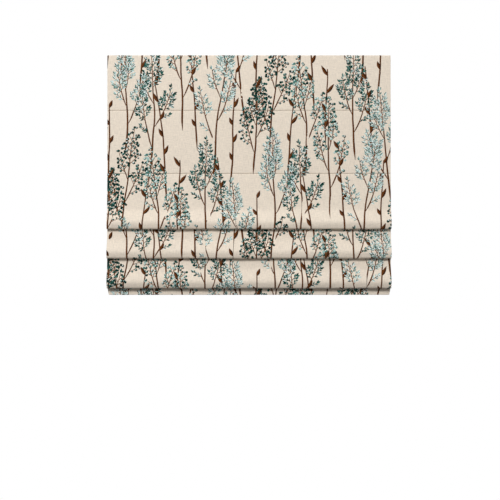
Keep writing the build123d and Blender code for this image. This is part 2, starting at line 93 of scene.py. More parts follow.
WAVE_SHIFT = 1.7  # phase from one panel to the next

# Rods, bar and their sleeves
ROD_Z = [CLOTH_TOP - d for d in SEAM_DEPTHS] + [CLOTH_TOP - c - CREASE_R for c in CREASES]
SEW_GAP = 0.1
POCKET_R = 3.4
POCKET_BORE = 2.8
POCKET_T = 0.6
POCKET_L = 888.0
POCKET_LAND = 8.0  # height of the strip that is sewn to the lining
ROD_Y = LEG_Y + BACK + SEW_GAP + POCKET_R
SLEEVE_Y = LEG_Y + 2 * TURN_R + PLY_HALF + FACE_T + SEW_GAP
SLEEVE_T = 0.7
SLEEVE_FIT = 0.4
SLEEVE_L = 884.0
SLEEVE_COLUMNS = 74
SLEEVE_BEND = 1.6  # radius of the bar sleeve's corners, outside
SLEEVE_BORE_BEND = 0.6  # and inside
ROD_SLACK = 0.06  # how uneven the cloth of the rods' sleeves is
BAR_SLACK = 0.1  # and of the bar's
SWELL_LONG = 0.045  # waves of a sleeve's cloth, in radians per millimetre along it
SWELL_SHORT = 0.117
SWELL_ROUND = 0.9  # and the same round it
BAR_T = 4.0
BAR_Z = (-809.0, -789.0)

# Lift: cords, spools and travel
SIDES = ("left", "middle", "right")
SPOOL_X = (-360.0, 0.0, 360.0)
AXIS_Z = -29.2
DRUM_L = 34.0
CORD_R = 0.7
CORD_GAP = 0.05
CORD_END_Z = -799.0
WOUND_R = 8.75
TURNS = 9.4

# Camera: level, in front of the cloth, at the photograph's height and distance, in metres
VIEW_SPAN = 1.6945  # width of the picture at the cloth's plane
VIEW_CENTRE = (0.0034, -0.0233, -0.661)
LENS = 75.0
SENSOR = 36.0

camera = bpy.data.objects.new("camera", bpy.data.cameras.new("camera"))
camera.data.lens = LENS
camera.data.sensor_width = SENSOR
camera.location = Vector(VIEW_CENTRE) - Vector((0, VIEW_SPAN * LENS / SENSOR, 0))
camera.rotation_euler = (math.radians(90), 0, 0)
bpy.context.collection.objects.link(camera)
bpy.context.scene.camera = camera
bpy.context.scene.view_settings.view_transform = "Standard"


# Shader nodes

def srgb(red, green, blue):
    """A colour given as it looks on screen, 0 to 255."""
    return tuple(((c / 255 + 0.055) / 1.055) ** 2.4 if c > 10 else c / 3295 for c in (red, green, blue))


def add_node(tree, kind, **inputs):
    """A node with its inputs set or linked, named with _ for a space or by place as _0, _1."""
    made = tree.nodes.new(kind)
    for key, value in inputs.items():
        socket = made.inputs[int(key[1:]) if key[0] == "_" else key.replace("_", " ")]
        if isinstance(value, bpy.types.NodeSocket):
            tree.links.new(value, socket)
        else:
            socket.default_value = value
    return made


def add_math(tree, operation, *values):
    made = add_node(tree, "ShaderNodeMath", **{f"_{i}": v for i, v in enumerate(values)})
    made.operation = operation
    return made.outputs[0]


def add_range(tree, value, low, high, start=0.0, end=1.0):
    """value, from start to end, brought to low to high."""
    return add_node(tree, "ShaderNodeMapRange", Value=value, From_Min=start, From_Max=end,
                    To_Min=low, To_Max=high).outputs["Result"]


class Shader:
    """A principled material whose colour, roughness and bump come from nodes."""

    def __init__(self, name, colour, roughness, metallic=0.0, sheen=0.0, coat=0.0, specular=0.5):
        self.mat = bpy.data.materials.new(name)
        self.mat.use_nodes = True
        self.mat.diffuse_color = (*colour, 1)
        self.tree = self.mat.node_tree
        self.out = self.tree.nodes["Principled BSDF"]
        self.colour = colour
        for socket, value in (("Base Color", (*colour, 1)), ("Roughness", roughness),
                              ("Metallic", metallic), ("Sheen Weight", sheen), ("Coat Weight", coat),
                              ("Specular IOR Level", specular)):
            self.out.inputs[socket].default_value = value

    def here(self, stretch=(1, 1, 1), uv=None):
        """Object coordinates, or a UV map's, stretched."""
        if uv:
            source = add_node(self.tree, "ShaderNodeUVMap")
            source.uv_map = uv
            place = source.outputs["UV"]
        else:
            place = add_node(self.tree, "ShaderNodeTexCoord").outputs["Object"]
        return add_node(self.tree, "ShaderNodeMapping", Vector=place, Scale=stretch).outputs["Vector"]

    def noise(self, where, scale, detail=3.0, rough=0.55):
        return add_node(self.tree, "ShaderNodeTexNoise", Vector=where, Scale=scale, Detail=detail,
                        Roughness=rough).outputs["Fac"]

    def wave(self, where, direction, pitch, distortion=0.0):
        """Ridges a pitch apart, given in metres. Blender's wave turns by 20 radians per unit at scale 1."""
        made = add_node(self.tree, "ShaderNodeTexWave", Vector=where, Scale=math.pi / 10 / pitch,
                        Distortion=distortion)
        made.bands_direction = direction
        return made.outputs["Fac"]

    def math(self, operation, *values):
        return add_math(self.tree, operation, *values)

    def spread(self, *values):
        return add_range(self.tree, *values)

    def tint(self, factor):
        """The base colour made darker or lighter by a factor."""
        made = add_node(self.tree, "ShaderNodeMixRGB", Fac=1.0, Color1=(*self.colour, 1), Color2=factor)
        made.blend_type = "MULTIPLY"
        self.tree.links.new(made.outputs[0], self.out.inputs["Base Color"])

    def rough(self, value):
        self.tree.links.new(value, self.out.inputs["Roughness"])

    def bump(self, height, distance):
        made = add_node(self.tree, "ShaderNodeBump", Strength=1.0, Distance=distance, Height=height)
        self.tree.links.new(made.outputs[0], self.out.inputs["Normal"])


THREAD = 0.0008  # thread pitch of the face cloth, in metres
FINE_THREAD = 0.0005  # and of lining and sleeves
FINE_DEPTH = 0.0001
SLUB_RATES = (50, 560)  # changes per metre along a thread and across the threads
PATCH_RATE = 240.0
UV = "cloth"


def linen(name, colour, thread=THREAD, depth=0.00022, slub=0.05, sheen=0.15, specular=0.5):
    """Plain weave with slubs and painted shade between the threads, on a UV map in metres of cloth."""
    s = Shader(name, colour, 0.86, sheen=sheen, specular=specular)
    flat = s.here(uv=UV)
    warp = s.wave(flat, "X", thread, 0.15)
    weft = s.wave(flat, "Y", thread, 0.15)
    over = add_node(s.tree, "ShaderNodeTexChecker", Vector=flat, Scale=1 / thread).outputs["Fac"]
    ridge = s.math("ADD", s.math("MULTIPLY", over, warp),
                   s.math("MULTIPLY", s.math("SUBTRACT", 1.0, over), weft))
    slow, fast = SLUB_RATES
    along = s.noise(s.here((slow, fast, 1), UV), 1.0, 2.0)
    across = s.noise(s.here((fast, slow, 1), UV), 1.0, 2.0)
    patchy = s.noise(flat, PATCH_RATE, 4.0)
    slubs = s.math("ADD", s.math("ADD", along, across), s.math("MULTIPLY", patchy, 0.5))
    # Tone: the slubs vary it at random; the weave's valleys are painted darker and its crowns lighter, as
    # shade and highlight between the threads
    s.tint(s.math("ADD", s.spread(slubs, 1 - slub, 1 + slub, 0.75, 1.75), s.spread(ridge, -0.06, 0.04)))
    s.bump(s.math("ADD", s.math("MULTIPLY", ridge, 0.7), s.math("MULTIPLY", slubs, 0.35)), depth)
    return s.mat


INKS = {
    "brown_dark": srgb(54, 25, 2),
    "brown": srgb(98, 53, 14),
    "brown_soft": srgb(126, 82, 40),
    "teal_deep": srgb(5, 38, 32),
    "teal": srgb(22, 68, 60),
    "teal_mid": srgb(72, 120, 111),
    "teal_soft": srgb(160, 190, 184),
    "frost": srgb(222, 234, 231),
}
ground_linen = linen("printed_ground", srgb(231, 218, 201), slub=0.2)
INK_LINENS = {name: linen(f"ink_{name}", colour, slub=0.18, sheen=0.04, specular=0.2)
              for name, colour in INKS.items()}
lining_linen = linen("lining_weave", srgb(233, 229, 219), FINE_THREAD, FINE_DEPTH)
sleeve_linen = linen("sleeve_weave", srgb(228, 224, 214), FINE_THREAD, FINE_DEPTH)


def hard(name, colour, roughness, metallic=0.0, stretch=(1, 1, 1), grain=900.0, depth=0.00004,
         vary=0.04, wear=0.12, coat=0.0):
    """A moulded, coated or drawn surface: fine grain, drawn out by stretch, and worn patches."""
    s = Shader(name, colour, roughness, metallic, coat=coat)
    fine = s.noise(s.here(stretch), grain, 3.0)
    broad = s.noise(s.here(), 14.0, 4.0)
    s.tint(s.math("ADD", s.spread(fine, 1 - vary, 1 + vary, 0.3, 0.7),
                  s.spread(broad, -vary, vary, 0.3, 0.7)))
    s.rough(s.spread(s.math("ADD", fine, broad), roughness - wear / 2, roughness + wear / 2, 0.7, 1.3))
    s.bump(fine, depth)
    return s.mat


def pile(name, colour, cell, depth):
    """Hook or loop tape: a field of small tufts, painted darker between them as shade."""
    s = Shader(name, colour, 0.95, sheen=0.3)
    tufts = add_node(s.tree, "ShaderNodeTexVoronoi", Vector=s.here(), Scale=1 / cell).outputs["Distance"]
    curl = s.noise(s.here(), 1500.0, 4.0)
    height = s.math("ADD", s.math("SUBTRACT", 1.0, tufts), s.math("MULTIPLY", curl, 0.6))
    # Painted shade: darker where the tufts are low, lighter on their tops
    s.tint(s.spread(height, 0.8, 1.06, 0.5, 1.5))
    s.bump(height, depth)
    return s.mat


def braid(name, colour, pitch):
    """Braided cord: two sets of crossing ridges, painted darker in the grooves between them as shade."""
    s = Shader(name, colour, 0.7, sheen=0.2)
    one = s.wave(s.here((1.6, 1.6, 1)), "DIAGONAL", pitch)
    two = s.wave(s.here((-1.6, -1.6, 1)), "DIAGONAL", pitch)
    height = s.math("MAXIMUM", one, two)
    # Painted shade: darker in the braid's grooves
    s.tint(s.spread(height, 0.82, 1.04))
    s.bump(height, 0.0001)
    return s.mat


WHITE = srgb(238, 238, 234)
DRAWN = (0.02, 1, 1)  # grain drawn out along x
FINISHES = {
    "tape_fabric": pile("tape_pile", srgb(238, 237, 233), 0.0011, 0.0004),
    "cord_fabric": braid("cord_braid", srgb(238, 235, 226), 0.0012),
    "rail_aluminium": hard("powder_coat", srgb(237, 236, 232), 0.42, grain=1400.0, depth=0.00003, coat=0.1),
    "bar_aluminium": hard("mill_aluminium", srgb(205, 206, 207), 0.36, 1.0, (0.03, 1, 1), 1500.0, vary=0.05),
    "bracket_steel": hard("zinc_plate", srgb(196, 199, 203), 0.4, 0.9, grain=260.0, vary=0.08, wear=0.2),
    "shaft_steel": hard("drawn_steel", srgb(178, 180, 182), 0.3, 1.0, DRAWN, 1800.0, vary=0.05),
    "spring_steel": hard("blued_steel", srgb(108, 116, 128), 0.34, 1.0, grain=500.0, vary=0.1),
    "white_plastic": hard("white_moulding", WHITE, 0.4, grain=1100.0, depth=0.00003),
    "grey_plastic": hard("grey_moulding", srgb(166, 168, 170), 0.5, grain=900.0, depth=0.00005),
    "dark_plastic": hard("dark_moulding", srgb(58, 60, 63), 0.48, grain=700.0, depth=0.00006),
    "rod_fibreglass": hard("glass_fibre", srgb(232, 231, 222), 0.36, 0.0, DRAWN, 1600.0, vary=0.06),
}
thread_mat = hard("sewing_thread", srgb(240, 237, 228), 0.7, grain=2500.0, depth=0.00003, vary=0.06)
# Seam thread: real stitches, in a dark grey-brown that also paints the shadow line of the seams' grooves
seam_thread_and_shade = hard("seam_thread_and_shade", srgb(112, 98, 80), 0.75, grain=2500.0, depth=0.00003, vary=0.08)
for subpart in frame["record"]["subparts"]:
    finish = FINISHES.get(subpart["material_slot"])
    if finish:
        for place in frame["nodes"][subpart["node"]].material_slots:
            place.material = finish


# Meshes

def obj_from(name, verts, faces, materials, body, smooth=40.0):
    """A mesh object of points in millimetres, riding on a body."""
    mesh = bpy.data.meshes.new(name)
    mesh.from_pydata([tuple(c * MM for c in v) for v in verts], [], faces)
    for mat in materials:
        mesh.materials.append(mat)
    made = bpy.data.objects.new(name, mesh)
    bpy.context.collection.objects.link(made)
    if smooth:
        mesh.shade_smooth()
        mesh.set_sharp_from_angle(angle=math.radians(smooth))
    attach(made, body)
    return made


def ring_faces(count, rows, first=0):
    """Quads between rows of closed rings, wound so that they face outwards."""
    return [
        (first + r * count + i, first + (r + 1) * count + i,
         first + (r + 1) * count + (i + 1) % count, first + r * count + (i + 1) % count)
        for r in range(rows - 1) for i in range(count)
    ]


def end_faces(count, rows, first=0):
    """One face on each end of the rings."""
    last = first + (rows - 1) * count
    return [tuple(range(first, first + count)), tuple(reversed(range(last, last + count)))]


def add_uv(obj, places):
    """Lays the UV map in metres of cloth from one place for each vertex."""
    layer = obj.data.uv_layers.new(name=UV)
    for loop in obj.data.loops:
        layer.uv[loop.index].vector = places[loop.vertex_index]


def between(a, b, t):
    return tuple(p + t * (q - p) for p, q in zip(a, b))


# The cloth's section: circles (y, depth, radius) that it runs round, as in the part's source

def seam(depth):
    return [
        (CLOTH_Y + PINCH_EASE_R, depth - PINCH_SPREAD, PINCH_EASE_R),
        (LEG_Y - PINCH_R, depth, -PINCH_R),
        (CLOTH_Y + PINCH_EASE_R, depth + PINCH_SPREAD, PINCH_EASE_R),
    ]


def fold(bottom, crease, forward, lean, drop):
    front = CLOTH_Y - forward
    hang = CLOTH_Y - HANG_FORWARD
    low = bottom - FACE_T - PLY_HALF - FOLD_R
    return [
        (hang - LEAD_R, low - BULGE_START, -LEAD_R),
        (front + BULGE_R, low - drop, BULGE_R),
        (front + FOLD_R + lean, low, FOLD_R),
        (LEG_Y - CREASE_R, crease + CREASE_R, -CREASE_R),
    ]


def stations(path, flat_step=15.0, arc_step=4.0, arc_turn=0.2):
    """Places (length, y, z, ny, nz) down the middle surface, the normal pointing to the back."""
    legs = []
    for (ya, da, ra), (yb, db, rb) in zip(path[:-1], path[1:]):
        za = CLOTH_TOP - da
        zb = CLOTH_TOP - db
        heading = math.atan2(zb - za, yb - ya) - math.asin((rb - ra) / math.hypot(yb - ya, zb - za))
        ny = -math.sin(heading)
        nz = math.cos(heading)
        legs.append((ya - ra * ny, za - ra * nz, yb - rb * ny, zb - rb * nz, heading))
    line = []
    gone = 0.0
    for index, (y0, z0, y1, z1, heading) in enumerate(legs):
        run = math.hypot(y1 - y0, z1 - z0)
        steps = max(1, math.ceil(run / flat_step))
        for i in range(steps + 1):
            t = i / steps
            line.append((gone + t * run, y0 + t * (y1 - y0), z0 + t * (z1 - z0),
                         -math.sin(heading), math.cos(heading)))
        gone += run
        if index + 1 == len(legs):
            break
        cy, depth, radius = path[index + 1]
        turn = (legs[index + 1][4] - heading) % (2 * math.pi)
        if radius < 0:
            turn -= 2 * math.pi
        steps = max(2, math.ceil(abs(turn * radius) / arc_step), math.ceil(abs(turn) / arc_turn))
        for i in range(1, steps):
            a = heading + turn * i / steps
            line.append((gone + turn * radius * i / steps, cy + radius * math.sin(a),
                         CLOTH_TOP - depth - radius * math.cos(a), -math.sin(a), math.cos(a)))
        gone += turn * radius
    return line


body_path = []
for depth in SEAM_DEPTHS:
    body_path += seam(depth)
for shape in zip(FOLD_BOTTOMS, CREASES, FOLD_FORWARDS, FOLD_LEANS, BULGE_DROPS):
    body_path += fold(*shape)
EDGE_DEPTH = FACE_T + PLY_HALF + TURN_R
face_line = stations(
    [(CLOTH_Y + 2 * TURN_R, TOP_TURN, 0.0), (CLOTH_Y + TURN_R, EDGE_DEPTH, TURN_R)]
    + body_path
    + [(LEG_Y + TURN_R, HEM - EDGE_DEPTH, TURN_R), (LEG_Y + 2 * TURN_R, HEM - HEM_TURN, 0.0)]
)
lining_line = stations(
    [(CLOTH_Y, 2 * EDGE_DEPTH, 0.0)] + body_path + [(LEG_Y, HEM - 2 * EDGE_DEPTH, 0.0)]
)
TOP_EDGE = TOP_TURN - EDGE_DEPTH + math.pi * TURN_R / 2  # length along the face line at the top edge
FACE_LENGTH = face_line[-1][0]
HEM_EDGE = FACE_LENGTH - (HEM_TURN - EDGE_DEPTH) - math.pi * TURN_R / 2
LINING_LAG = TOP_EDGE + math.pi * TURN_R / 2 + EDGE_DEPTH  # face line's length where the lining starts


def hold_points():
    """Lengths along the face line at which the cloth is held: tape, rods and hem."""
    near = [p for p in face_line if p[1] > LEG_Y - 1.0]
    rods = [min(near, key=lambda p: abs(p[2] - z))[0] for z in ROD_Z]
    return [TOP_EDGE + TOP_TURN, *rods, HEM_EDGE - HEM_TURN]


held_at = hold_points()


def drape(x, s):
    """How far the cloth stands off its plain section, along the normal: nothing where it is held."""
    panel = bisect.bisect(held_at, s) - 1
    if panel < 0 or panel + 1 >= len(held_at):
        return 0.0
    share = (s - held_at[panel]) / (held_at[panel + 1] - held_at[panel])
    swing = sum(math.sin(2 * math.pi * f * x + p + WAVE_SHIFT * panel) / (k + 1.5)
                for k, (f, p) in enumerate(WAVES))
    return WAVE_H * math.sin(math.pi * share) ** 2 * swing


def at(station, x, shift):
    """The point of the cloth at a width x and a shift to the back, draped and drawn in at the hem."""
    s, y, z, ny, nz = station
    off = shift + drape(x, s)
    below = max(0.0, CLOTH_TOP - FOLD_BOTTOMS[-1] - z) / (HEM - FOLD_BOTTOMS[-1])
    return (x * (1 - DRAW_IN * below / (CLOTH_W / 2)), y + off * ny, z + off * nz)


def sweep(loop, line, lag=0.0):
    """Points and UV places of an (x, shift) loop at each station of a line."""
    verts = []
    places = []
    for station in line:
        moved = (station[0] + lag, *station[1:])
        for x, shift in loop:
            verts.append(at(moved, x, shift))
            places.append((x * MM, moved[0] * MM))
    return verts, places


def ply(name, line, lag, half, near, far, mat):
    """A layer of cloth swept down its section and closed at its edges and ends."""
    xs = [-half + 2 * half * i / COLUMNS for i in range(COLUMNS + 1)]
    loop = [(x, near) for x in xs] + [(x, far) for x in reversed(xs)]
    count = len(loop)
    verts, places = sweep(loop, line, lag)
    faces = ring_faces(count, len(line))
    for start, back in ((0, True), ((len(line) - 1) * count, False)):
        for i in range(COLUMNS):
            cap = [start + k for k in (i, i + 1, count - 2 - i, count - 1 - i)]
            faces.append(tuple(cap[::-1] if back else cap))
    made = obj_from(name, verts, faces, [mat], "headrail")
    add_uv(made, places)
    return made


SLIVER = 0.05  # shorter stretches of cloth aren't made


def part_of(line, low, high):
    """The stations of a line between two lengths, with one made at each of them."""
    ends = []
    for goal in (low, high):
        after = next(i for i, p in enumerate(line) if p[0] >= goal)
        a, b = line[after - 1], line[after]
        ends.append(between(a, b, (goal - a[0]) / (b[0] - a[0])))
    return [ends[0]] + [p for p in line if low + SLIVER < p[0] < high - SLIVER] + [ends[1]]


def rolled(side):
    """The side turning: a roll round the cloth's edge and a strip behind, as an (x, shift) loop."""
    loop = []
    for step in range(ROLL_STEPS + 1):
        a = math.pi * step / ROLL_STEPS
        loop.append((EDGE_X + ROLL * math.sin(a), FRONT + ROLL - ROLL * math.cos(a)))
    loop += [(STRIP_X, BACK), (STRIP_X, PLY_HALF), (EDGE_X, PLY_HALF)]
    return loop if side > 0 else [(-x, shift) for x, shift in reversed(loop)]


def side_turnings(line):
    """Both side turnings as one piece, closed at the top and at the hem."""
    verts = []
    places = []
    faces = []
    for side in (1, -1):
        loop = rolled(side)
        faces += ring_faces(len(loop), len(line), len(verts)) + end_faces(len(loop), len(line), len(verts))
        points, spots = sweep(loop, line)
        verts += points
        places += spots
    made = obj_from("side_turnings", verts, faces, [ground_linen], "headrail")
    add_uv(made, places)
    return made


face = ply("face_cloth", face_line, 0.0, EDGE_X, FRONT, -PLY_HALF, ground_linen)
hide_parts("face_fabric")
side_line = part_of(face_line, TOP_EDGE + 2 * TURN_R, HEM_EDGE - 2 * TURN_R)
turnings = side_turnings(side_line)
lining = ply("lining_cloth", lining_line, LINING_LAG, CLOTH_W / 2 - SIDE_TURN, PLY_HALF, BACK,
             lining_linen)
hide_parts("lining")


# Print: a generic pattern of upright sprigs with small leaves and berries, in a half-drop repeat.
# Its places are millimetres of cloth, x across and y upwards; the repeat is laid out once.

REPEAT_W = 500.0
REPEAT_H = 620.0
REPEAT_START = 0.22  # where the repeat starts, as a share of its width
REPEAT_COLUMNS = range(-2, 2)  # enough of them to cover the cloth
REPEAT_ROWS = range(-2, 4)
PRINT_SEED = 11
STEM, STEM_SHADE, TWIG, STALK, LEAF = 0.08, 0.10, 0.12, 0.14, 0.17  # layers above the cloth
LEVEL = 0.015  # between shapes of the leaf layer that overlap
MOST_LEVELS = 9

# Widths at foot and tip
STEM_W = (7.0, 4.0)
ARM_W = (5.4, 3.4)
REED_W = (6.2, 3.6)
AXIS_W = (3.2, 2.0)
TWIG_W = (2.4, 1.4)
STALK_W = (1.3, 1.2)

# Ranges that lengths and angles are drawn from
LEAF_L = (9.8, 14.2)
LEAF_LEAN = (0.45, 1.0)
PARTNER_LEAN = (0.7, 1.2)
STALK_L = (5, 9)
STALK_LEAN = (0.6, 1.2)
BERRY_R = (3.2, 4.8)
TWIG_LEAN = (0.6, 0.95)
ARM_LEAN = (0.4, 0.6)
REED_LEAF_L = (28, 44)
REED_LEAF_LEAN = (0.3, 0.6)

LEAF_W = 0.46  # of its length
PARTNER_SHARE = 0.4  # of leaves that have a smaller one opposite
PARTNER_L = 0.8
PARTNER_W = 0.4
TIP_LEAF = (15, 6.5)  # length and width
TIP_BERRY_R = 4.4
REED_LEAF_W = 12
TOP_PLUME = 92
ARM_SPRAY = 32
LEAF_OUTLINE = ((0.0, 0.0), (0.13, 0.52), (0.32, 0.93), (0.52, 0.97), (0.76, 0.6), (1.0, 0.0))
BERRY_SIDES = 10
SPOT_SIDES = 5
SPOT_TURN = 1.2
SPOT_SIZE = 0.58  # of the berry's radius
SPOT_OFF = 0.3
ARMS = ((0.36, 0.3, 72), (0.58, 0.2, 66), (0.8, 0.1, 54))  # place on the stem, reach, plume


def ahead(x, y, heading, distance):
    return x + distance * math.sin(heading), y + distance * math.cos(heading)


def beside(x, y, heading, distance):
    return x + distance * math.cos(heading), y - distance * math.sin(heading)


class Print:
    """Flat convex shapes of ink as (points, ink, layer)."""

    def __init__(self, seed):
        self.rng = random.Random(seed)
        self.shapes = []

    def strip(self, line, widths, ink, layer, shade=None):
        """A tapering stem along (x, y, heading) points, with a darker right edge if asked."""
        w0, w1 = widths
        last = len(line) - 1
        edges = []
        for i, place in enumerate(line):
            foot = min(1.0, 0.2 + 0.25 * i) if shade else 1.0
            w = foot * (w0 + (w1 - w0) * i / last) / 2
            edges.append((beside(*place, -w), beside(*place, w), beside(*place, 0.25 * w)))
        for a, b in zip(edges[:-1], edges[1:]):
            self.shapes.append(([a[0], a[1], b[1], b[0]], ink, layer))
            if shade:
                self.shapes.append(([a[2], a[1], b[1], b[2]], shade, STEM_SHADE))

    def run(self, x, y, heading, length, pull, step, wander=0.05):
        """Points of a growing line that turns towards the vertical by pull at each step."""
        count = max(2, round(length / step))
        line = [(x, y, heading)]
        for _ in range(count):
            heading += -heading * pull + self.rng.uniform(-wander, wander)
            x, y = ahead(x, y, heading, length / count)
            line.append((x, y, heading))
        return line

    def leaf(self, x, y, heading, length, width, inks):
        """An almond leaf whose halves differ in tone."""
        for side, ink in zip((-1, 1), inks):
            points = []
            for t, w in LEAF_OUTLINE:
                middle = ahead(x, y, heading, t * length)
                points.append(beside(*middle, heading, side * w * width / 2))
            self.shapes.append((points if side > 0 else points[::-1], ink, LEAF))

    def berry(self, x, y, radius, inks):
        """A round berry with a paler spot."""
        start = self.rng.uniform(0, 1)
        turns = [start + 2 * math.pi * k / BERRY_SIDES for k in range(BERRY_SIDES)]
        disc = [(x + radius * math.cos(a), y + radius * math.sin(a)) for a in turns]
        self.shapes.append((disc, inks[0], LEAF))
        cx, cy = x - SPOT_OFF * radius, y + SPOT_OFF * radius
        small = SPOT_SIZE * radius
        turns = [SPOT_TURN * k for k in range(SPOT_SIDES)]
        spot = [(cx + small * math.cos(a), cy + small * math.sin(a)) for a in turns]
        self.shapes.append((spot, inks[1], LEAF + LEVEL * 0.5))

    def spray(self, x, y, heading, length, kind, tones):
        """A twig with leaves or berries to either side."""
        rng = self.rng
        line = self.run(x, y, heading, length, pull=0.04, step=6.5)
        self.strip(line, TWIG_W, "brown", TWIG)
        side = rng.choice((-1, 1))
        for i, (px, py, h) in enumerate(line[1:], start=1):
            side = -side
            size = rng.uniform(*LEAF_L)
            if kind == "leaf":
                a = h + side * rng.uniform(*LEAF_LEAN)
                self.leaf(px, py, a, size, size * LEAF_W, rng.choice(tones))
                if rng.random() < PARTNER_SHARE:
                    a = h - side * rng.uniform(*PARTNER_LEAN)
                    self.leaf(px, py, a, size * PARTNER_L, size * PARTNER_W, rng.choice(tones))
            elif i % 2 or rng.random() < 0.5:
                reach = rng.uniform(*STALK_L)
                a = h + side * rng.uniform(*STALK_LEAN)
                bx, by = ahead(px, py, a, reach)
                self.strip([(px, py, a), (bx, by, a)], STALK_W, "brown_soft", STALK)
                self.berry(bx, by, rng.uniform(*BERRY_R), rng.choice(tones))
        px, py, h = line[-1]
        if kind == "leaf":
            self.leaf(px, py, h, *TIP_LEAF, rng.choice(tones))
        else:
            self.berry(*ahead(px, py, h, 4), TIP_BERRY_R, rng.choice(tones))

    def plume(self, x, y, heading, size, kind, tones):
        """A feathered end of a branch: a middle twig with shorter ones to either side."""
        axis = self.run(x, y, heading, size, pull=0.05, step=8.5)
        self.strip(axis, AXIS_W, "brown", TWIG)
        side = self.rng.choice((-1, 1))
        for i, (px, py, h) in enumerate(axis[:-1]):
            side = -side
            length = size * (0.42 - 0.22 * i / len(axis)) * self.rng.uniform(0.8, 1.15)
            self.spray(px, py, h + side * self.rng.uniform(*TWIG_LEAN), length, kind, tones)
        self.spray(*axis[-1], 0.3 * size, kind, tones)

    def sprig(self, x, y, height, kind, lean, tones):
        """An upright stem with three arms, the lower two with a spray, and a plume on each end."""
        stem = self.run(x, y, lean, height, pull=0.03, step=10.0)
        self.strip(stem, STEM_W, "brown", STEM, shade="brown_dark")
        side = self.rng.choice((-1, 1))
        for share, reach, size in ARMS:
            px, py, h = stem[int(share * len(stem))]
            heading = h + side * self.rng.uniform(*ARM_LEAN)
            arm = self.run(px, py, heading, height * reach, pull=0.06, step=9.0)
            self.strip(arm, ARM_W, "brown", STEM, shade="brown_dark")
            self.plume(*arm[-1], size, kind, tones)
            if share < 0.7:
                mx, my, mh = arm[len(arm) // 2]
                self.spray(mx, my, mh + side * 0.7, ARM_SPRAY, kind, tones)
            side = -side
        self.plume(*stem[-1], TOP_PLUME, kind, tones)

    def reed(self, x, y, height, lean):
        """A bare stem with a few brown leaves."""
        stem = self.run(x, y, lean, height, pull=0.01, step=12.0, wander=0.04)
        self.strip(stem, REED_W, "brown", STEM, shade="brown_dark")
        side = self.rng.choice((-1, 1))
        for px, py, h in stem[len(stem) // 4:len(stem) - 1:5]:
            side = -side
            heading = h + side * self.rng.uniform(*REED_LEAF_LEAN)
            length = self.rng.uniform(*REED_LEAF_L)
            self.leaf(px, py, heading, length, REED_LEAF_W, ("brown", "brown_dark"))


# Tones of a leaf's halves, or of a berry and its spot
DEEP = [("teal_deep", "teal"), ("teal", "teal_mid"), ("teal_deep", "teal_soft"), ("teal_deep", "frost")]
MIXED = [("teal", "teal_soft"), ("teal_mid", "frost"), ("teal_soft", "frost"), ("teal_deep", "frost")]
PALE = [("teal_mid", "frost"), ("teal_soft", "frost"), ("teal", "frost"), ("teal_deep", "teal_soft")]

# Foot (x, y), height, kind, lean and tones of each sprig; foot, height and lean of each reed
SPRIGS = (
    (50, 10, 330, "leaf", 0.10, DEEP),
    (165, 190, 300, "berry", -0.08, MIXED),
    (270, 20, 350, "leaf", 0.05, MIXED),
    (375, 230, 290, "leaf", -0.10, PALE),
    (455, 60, 330, "berry", 0.08, DEEP),
    (80, 360, 270, "berry", 0.10, PALE),
    (250, 400, 260, "leaf", -0.06, DEEP),
    (470, 420, 270, "leaf", 0.06, MIXED),
    (404, 40, 205, "berry", 0.03, DEEP),
)
REEDS = ((110, -60, 420, 0.05), (215, 120, 330, -0.07), (325, -20, 420, 0.06), (415, 250, 340, -0.03),
         (20, 330, 300, 0.07), (150, 450, 260, -0.05), (300, 420, 300, 0.03))


def extent(points, axis):
    values = [p[axis] for p in points]
    return min(values), max(values)


def printed_shapes():
    """The repeat's shapes laid over the cloth, as (points, ink, layer) with y down the cloth."""
    ink = Print(PRINT_SEED)
    for sprig in SPRIGS:
        ink.sprig(*sprig)
    for reed in REEDS:
        ink.reed(*reed)
    limit = CLOTH_W / 2 + SIDE_TURN
    laid = []
    for column in REPEAT_COLUMNS:
        for row in REPEAT_ROWS:
            dx = (column + REPEAT_START) * REPEAT_W
            dy = row * REPEAT_H + (column % 2) * REPEAT_H / 2
            for points, name, layer in ink.shapes:
                moved = [(px + dx, FACE_LENGTH - dy - py) for px, py in points]
                left, right = extent(moved, 0)
                top, low = extent(moved, 1)
                if right > -limit and left < limit and low > 0 and top < FACE_LENGTH:
                    laid.append((moved, name, layer))
    return laid


def levelled(shapes, cell=20.0):
    """Lifts each shape of the leaf layer clear of the ones that it overlaps."""
    near = {}
    done = []
    for points, name, layer in shapes:
        if layer < LEAF:
            done.append((points, name, layer))
            continue
        cx = sum(p[0] for p in points) / len(points)
        cy = sum(p[1] for p in points) / len(points)
        r = max(math.hypot(p[0] - cx, p[1] - cy) for p in points)
        box = (int(cx // cell), int(cy // cell))
        used = set()
        for i in (-1, 0, 1):
            for j in (-1, 0, 1):
                for ox, oy, other, level in near.get((box[0] + i, box[1] + j), ()):
                    if math.hypot(cx - ox, cy - oy) < r + other:
                        used.add(level)
        level = min(k for k in range(len(used) + 1) if k not in used)
        near.setdefault(box, []).append((cx, cy, r, level))
        done.append((points, name, layer + LEVEL * (level % MOST_LEVELS)))
    return done


def clip(points, axis, low, high):
    """A convex shape cut to the band between two values of one of its coordinates."""
    for sign, limit in ((1, low), (-1, -high)):
        kept = []
        for a, b in zip(points, points[1:] + points[:1]):
            da = sign * a[axis] - limit
            db = sign * b[axis] - limit
            if da >= 0:
                kept.append(a)
            if da * db < 0:
                kept.append(between(a, b, da / (da - db)))
        points = kept
        if len(points) < 3:
            return []
    return points


def area_of(points):
    return 0.5 * sum(a[0] * b[1] - b[0] * a[1] for a, b in zip(points, points[1:] + points[:1]))


